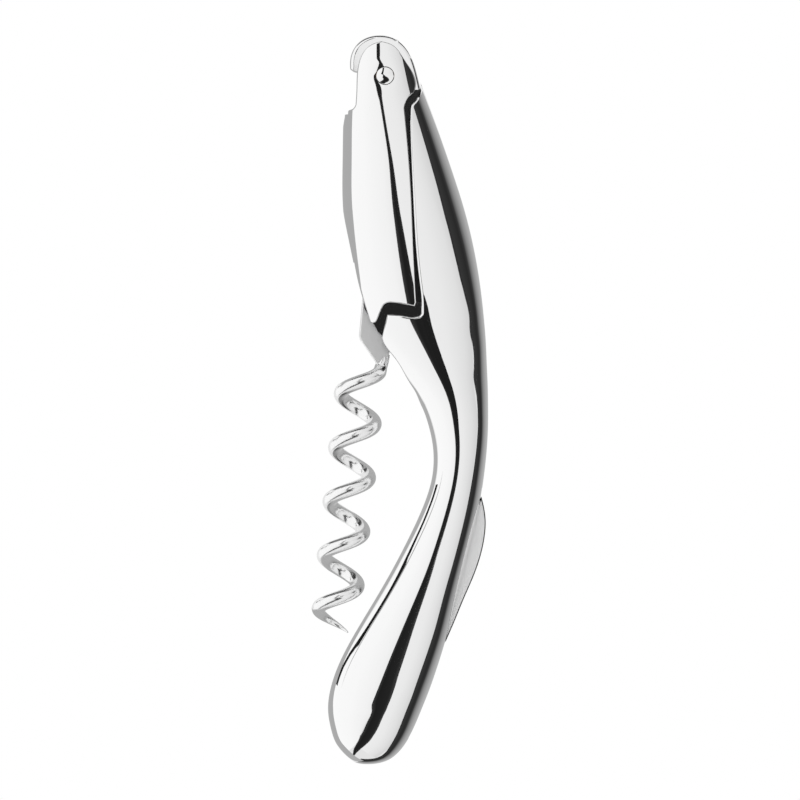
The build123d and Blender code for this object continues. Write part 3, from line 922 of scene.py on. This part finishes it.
blade_outline = chain(
    (smooth([
        (14.55, -17.25),
        (15.0, -19.15),
        (15.3, -21.65),
        (15.15, -24.15),
        (14.5, -27.4),
        (13.4, -30.8),
        (11.35, -35.6),
        (9.85, -39.25),
        (8.25, -42.95),
    ]), 60),
    (straight([(8.25, -42.95), (6.4, -45.7)]), 6),
    (arc(KNIFE_PIVOT, TANG_RADIUS, -30, -214), 30),
    (straight([(2.0, -42.9), (4.6, -41.2), (5.75, -39.35)]), 10),
    (smooth([
        (5.75, -39.35),
        (7.55, -35.8),
        (10.25, -28.65),
        (12.2, -22.4),
        (14.55, -17.25),
    ]), 60),
)[:-1]
blade = middle_plate("blade", blade_outline, BLADE_THICKNESS, rim=0.2, segments=2)
polish(blade, crease=PLATE_CREASE)
flatten(blade)
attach(blade, "knife")
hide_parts("knife_blade")

# ---- Finishes ----

def linear(hex_colour):
    """An sRGB hex colour as linear RGBA."""
    values = [int(hex_colour[i:i + 2], 16) / 255 for i in (1, 3, 5)]
    return [v / 12.92 if v <= 0.04045 else ((v + 0.055) / 1.055) ** 2.4 for v in values] + [1.0]


def bare(holder):
    """The node tree of a material or world, with nothing in it."""
    holder.use_nodes = True
    holder.node_tree.nodes.clear()
    return holder.node_tree


def node(tree, kind, values=None, links=None):
    """Adds a node, sets the values of its sockets and links its sockets to other nodes' outputs."""
    made = tree.nodes.new(kind)
    for socket, value in (values or {}).items():
        made.inputs[socket].default_value = value
    for socket, output in (links or {}).items():
        tree.links.new(output, made.inputs[socket])
    return made


def metal(name, colour, roughness, metallic=1.0):
    """A metal that is even all over, as wheel, grinder and tumbler leave it at this size."""
    made = bpy.data.materials.new(name)
    tree = bare(made)
    shader = node(tree, "ShaderNodeBsdfPrincipled", {
        "Base Color": linear(colour),
        "Metallic": metallic,
        "Roughness": roughness,
    })
    node(tree, "ShaderNodeOutputMaterial", links={"Surface": shader.outputs["BSDF"]})
    return made


def paint(made, material):
    """Gives a piece one finish all over."""
    made.data.materials.clear()
    made.data.materials.append(material)


# Cast stainless steel, wheel polished: a bright mirror, in which every edge of a card is crisp.
mirror_steel = metal("mirror_polished_stainless_steel", "#f0f0f0", 0.03)
# Blade steel, ground fine on both faces: nearly white and soft, with no picture of the room.
blade_steel = metal("fine_ground_blade_steel", "#fcfcfc", 0.5, 0.15)
# Forged steel, tumbled to satin: an even pale grey that falls off softly at the edges.
satin_steel = metal("satin_forged_steel", "#f0f0f0", 0.36, 0.75)
# Steel wire, polished once it is wound: bright, with the reflections a little blurred.
wire_steel = metal("polished_wire_steel", "#f0f0f0", 0.2)
# Painted shade: dull dark steel that stands for the shade deep in the gaps and for the dark
# reflection along the blade's edge, so that it outlines the bright faces.
painted_shade_steel = metal("painted_shade_grey_steel", "#3c3c3c", 0.4)
# Phosphor bronze, stamped and tumbled: a warm, soft shine deep in the gaps.
bronze = metal("phosphor_bronze", "#c9976a", 0.3)
# Rolled spring steel and drawn pins: a grey shine, less bright than the casting.
spring_steel = metal("bright_spring_steel", "#b4b4b6", 0.25)

for piece in (shell, tongue, lever, *pivot_heads):
    paint(piece, mirror_steel)
paint(wire, wire_steel)
paint(lug, satin_steel)
paint(blade, blade_steel)
# The recess's floor plate gets the painted shade.
paint(painted_shade_recess_floor, painted_shade_steel)

# Faces that look sideways are painted dark: painted shade on the pivot heads' skirts, in the
# joint's gap, and a painted dark reflection along the blade's edge.
for piece, upright in (blade, 0.98), (pivot_heads[0], 0.5), (pivot_heads[1], 0.5):
    piece.data.materials.append(painted_shade_steel)
    for face in piece.data.polygons:
        face.material_index = int(abs(face.normal.z) < upright)

# The casting's mirror stays clear of the wire beside it.
wire.visible_glossy = False

FINISHES = {
    "mirror_polished_steel": mirror_steel,
    "fine_ground_blade_steel": blade_steel,
    "phosphor_bronze_washer": bronze,
    "spring_steel": spring_steel,
    "bright_pin_steel": spring_steel,
}
for sub in frame["record"]["subparts"]:
    paint(frame["nodes"][sub["node"]], FINISHES[sub["material_slot"]])


# ---- Studio: cards that show only in the metal, floor and tent ----

DOME_RADIUS = 2500
SOFTBOX_RADIUS = 2700
FLAG_COLUMNS = 160
FLAG_ROWS = 16
# Degrees from straight up.
NEARLY_DOWN = 172
BLACK = "#202020"


def even(colour):
    """The stops of a card that has one colour all over."""
    return [(0, colour), (1, colour)]


def glowing(name, shades, strength=1.0):
    """Plain light whose colour runs across a card, as stops of (share, hex colour)."""
    made = bpy.data.materials.new(name)
    tree = bare(made)
    place = node(tree, "ShaderNodeTexCoord")
    split = node(tree, "ShaderNodeSeparateXYZ", links={"Vector": place.outputs["UV"]})
    ramp = node(tree, "ShaderNodeValToRGB", links={"Fac": split.outputs["Y"]})
    stops = ramp.color_ramp.elements
    while len(stops) < len(shades):
        stops.new(0.5)
    for stop, (share, colour) in zip(stops, shades):
        stop.position = share
        stop.color = linear(colour)
    glow = node(
        tree, "ShaderNodeEmission", {"Strength": strength}, {"Color": ramp.outputs["Color"]}
    )
    node(tree, "ShaderNodeOutputMaterial", links={"Surface": glow.outputs["Emission"]})
    return made


def hidden_card(made, material):
    """A card that shows in the metal only."""
    paint(made, material)
    made.visible_camera = False
    made.visible_shadow = False


def flag(name, first, last, shades, strength=1.0, radius=DOME_RADIUS):
    """A card on a wide dome round the tool, between two edges. Each edge is given as a mirror lying
    flat would show it: degrees from straight up, towards +X and towards +Y."""
    first, last = straight(first), straight(last)

    def place(column, row):
        along = column / FLAG_COLUMNS
        across = (row / FLAG_ROWS)[:, None]
        spot = first(along) * (1 - across) + last(along) * across
        tilt = np.linalg.norm(spot, axis=1)
        flat = (radius * np.sin(np.radians(tilt)) / np.maximum(tilt, TINY))[:, None]
        return np.concatenate([spot * flat, radius * np.cos(np.radians(tilt))[:, None]], 1)

    hidden_card(sheet(name, FLAG_COLUMNS, FLAG_ROWS, place), glowing(name, shades, strength))


def outermost(edge):
    """The same bearings, almost straight down."""
    return [tuple(np.array(spot) * NEARLY_DOWN / np.hypot(*spot)) for spot in edge]


# Overhead: the dark line down the lever and the one along the handle's crest.
flag(
    "overhead_flag",
    [(-12, 46), (-14, 30), (-17, 20), (-20, 15), (-19, 12.6), (-15, 10.9), (-11.8, 9.3),
     (-10.4, 7.5), (-10.2, 5.9), (-10.8, 3.5), (-11.7, 1), (-12.3, -2), (-12.6, -5), (-10.6, -8),
     (-8.4, -10.8), (-9.6, -15), (-19, -22), (-30, -27.7), (-42, -43), (-54.5, -64), (-63, -84),
     (-70, -98)],
    [(-4, 46), (-6, 30), (-8, 20), (-9, 15), (-10, 12.6), (-9.3, 11.6), (-7.2, 10.3), (-5.3, 8.8),
     (-3.2, 7.1), (-0.9, 5.3), (-0.2, 4), (1, 2), (4.5, 0.5), (9, -1.4), (12, -3.5), (14.5, -6),
     (18.6, -10.6), (20.6, -15), (20.4, -19.4), (14, -25), (4.5, -29.3), (-12, -41),
     (-30.6, -56.9), (-50, -78), (-66, -98)],
    [(0, "#3a3a3a"), (0.25, BLACK), (0.8, "#262626"), (1, "#404040")],
)

# To the right and round under the floor: the dark band along the bowed back, paling outwards.
right_inner = [
    (62, 34), (60, 27), (58.3, 23.5), (56.5, 20), (55.8, 17), (58, 14.2), (62, 12), (68, 10.2),
    (75, 8.9), (81, 7.7), (86.5, 6), (90.2, 3.4), (92, -1.1), (89.6, -7.9), (86.4, -13),
    (82.5, -17.2), (79.5, -20.5), (77, -23.5), (72, -26), (69.3, -28.5), (69.1, -32), (70.1, -38),
    (66.7, -46.8), (60, -60), (53, -75), (40, -88), (20, -95), (-10, -97), (-40, -98),
]
flag(
    "right_flag",
    right_inner,
    outermost(right_inner),
    [(0, "#303030"), (0.05, "#383838"), (0.2, "#2c2c2c"), (0.27, "#3a3a3a"), (0.32, "#686868"),
     (0.42, "#929292"), (0.6, "#b0b0b0"), (0.8, "#bcbcbc"), (1, "#c6c6c6")],
)

# Beyond the hook: the dark rims that face it.
flag(
    "north_flag",
    [(90, 45), (78, 58), (52, 66), (25, 72), (0, 74), (-30, 72), (-55, 66), (-72, 62)],
    [(104, 80), (80, 96), (55, 108), (20, 116), (0, 118), (-40, 118), (-75, 110), (-95, 95)],
    even(BLACK),
)

# Low on the left: the thin dark line inside the lower handle's left edge.
flag(
    "left_flag",
    [(-87, 39), (-88.3, 39.5), (-85.9, 43.4), (-87.7, 45.6), (-89.5, 43), (-95, 40.5),
     (-100, 40.3), (-105.6, 35.6), (-108, 28), (-108.4, 22)],
    [(-94, 41), (-95.3, 42.5), (-93, 47.5), (-94.7, 50), (-97, 48), (-102, 47), (-110, 45.6),
     (-117.4, 40), (-121, 32), (-122.1, 25)],
    even(BLACK),
)

# Behind the flags: a bright softbox for the left slopes, and one that dims outwards for the right.
flag(
    "left_softbox",
    [(-2, 14), (-8, 13), (-9, 8), (-9, 0), (-9, -8), (-5, -12), (-20, -20), (-30, -26)],
    [(-5, 100), (-60, 95), (-100, 75), (-125, 45), (-130, 0), (-120, -50), (-100, -80),
     (-85, -95)],
    [(0, "#eeeeee"), (0.12, "#f6f6f6"), (0.4, "#fcfcfc"), (1, "#ffffff")],
    strength=1.1,
    radius=SOFTBOX_RADIUS,
)
flag(
    "right_softbox",
    [(-4, 46), (-8, 20), (-9, 12), (-4, 6), (0, 2), (7, -2), (14, -7), (19, -14), (18, -22),
     (4, -30), (-12, -42), (-30, -58)],
    [(64, 46), (61, 34), (59, 24), (60, 14), (72, 10), (90, 2), (88, -8), (80, -20), (72, -30),
     (72, -40), (60, -64), (20, -92)],
    [(0, "#fbfbfb"), (0.3, "#f8f8f8"), (0.7, "#ededed"), (1, "#dedede")],
    radius=SOFTBOX_RADIUS,
)

# Close above the nose: the wide flags can't darken its crest without reaching further.
nose_outline = [
    (5, 21), (5, -16.5), (11, -16.7), (27.5, -15.5), (36, -11.5), (41, -7), (43.5, -2),
    (43.5, 2.4), (39.5, 6), (34, 8), (30.5, 11), (28, 14), (26.5, 18), (22, 21),
]
hidden_card(
    plate("nose_flag", nose_outline, bottom=150, top=150.5),
    glowing("nose_black", even(BLACK)),
)

# Right under the tool: only the metal's lower left edges show this grey.
table_outline = [
    (-300, 90), (-300, 15), (-30, 13), (-9, 8), (-6, 0), (-5, -12), (-9, -24), (-15, -34),
    (-26, -44), (-34, -56), (-30, -80), (-14, -92), (-10, -63), (-6, -55), (2, -40), (10, -20),
    (12, 0), (8, 20), (4, 40), (-1, 60), (-1, 90),
]
hidden_card(
    plate("table_card", table_outline, bottom=-1.0, top=-0.5),
    glowing("grey_table", even("#b4b4b4")),
)

# White paper: matt to the light that falls on it, plain white to the camera.
FLOOR_SIZE = 6
bpy.ops.object.select_all(action="DESELECT")
bpy.ops.mesh.primitive_plane_add(size=FLOOR_SIZE, location=(0, 0, 0))
floor = bpy.context.object
floor.name = floor.data.name = "floor"
floor.visible_glossy = False
paper = bpy.data.materials.new("white_paper_sweep")
tree = bare(paper)
path = node(tree, "ShaderNodeLightPath")
matt = node(tree, "ShaderNodeBsdfPrincipled", {"Base Color": linear("#e8e8e8"), "Roughness": 0.9})
white = node(tree, "ShaderNodeEmission", {"Strength": 1.0})
mix = node(tree, "ShaderNodeMixShader", links={
    0: path.outputs["Is Camera Ray"],
    1: matt.outputs["BSDF"],
    2: white.outputs["Emission"],
})
node(tree, "ShaderNodeOutputMaterial", links={"Surface": mix.outputs["Shader"]})
paint(floor, paper)

# A tent of soft white light, plain white to the camera.
TENT_STRENGTH = 0.88
scene = bpy.context.scene
scene.world = bpy.data.worlds.new("soft_tent")
tree = bare(scene.world)
path = node(tree, "ShaderNodeLightPath")
tent = node(
    tree, "ShaderNodeBackground", {"Color": linear("#ffffff"), "Strength": TENT_STRENGTH}
)
white = node(tree, "ShaderNodeBackground", {"Color": linear("#ffffff"), "Strength": 1.0})
mix = node(tree, "ShaderNodeMixShader", links={
    0: path.outputs["Is Camera Ray"],
    1: tent.outputs["Background"],
    2: white.outputs["Background"],
})
node(tree, "ShaderNodeOutputWorld", links={"Surface": mix.outputs["Shader"]})

# ---- Camera: a long lens straight above ----

scene.view_settings.view_transform = "Standard"
# Metres: how far the lens stands above the middle plane, and how much of that plane it takes in.
CAMERA_HEIGHT = 0.9
VIEW_WIDTH = 0.14295
SENSOR_WIDTH = 36
bpy.ops.object.select_all(action="DESELECT")
bpy.ops.object.camera_add(location=(0, 0, CAMERA_HEIGHT + MIDDLE * MM), rotation=(0, 0, 0))
camera = bpy.context.object
camera.data.sensor_width = SENSOR_WIDTH
camera.data.lens = SENSOR_WIDTH * CAMERA_HEIGHT / VIEW_WIDTH
scene.camera = camera
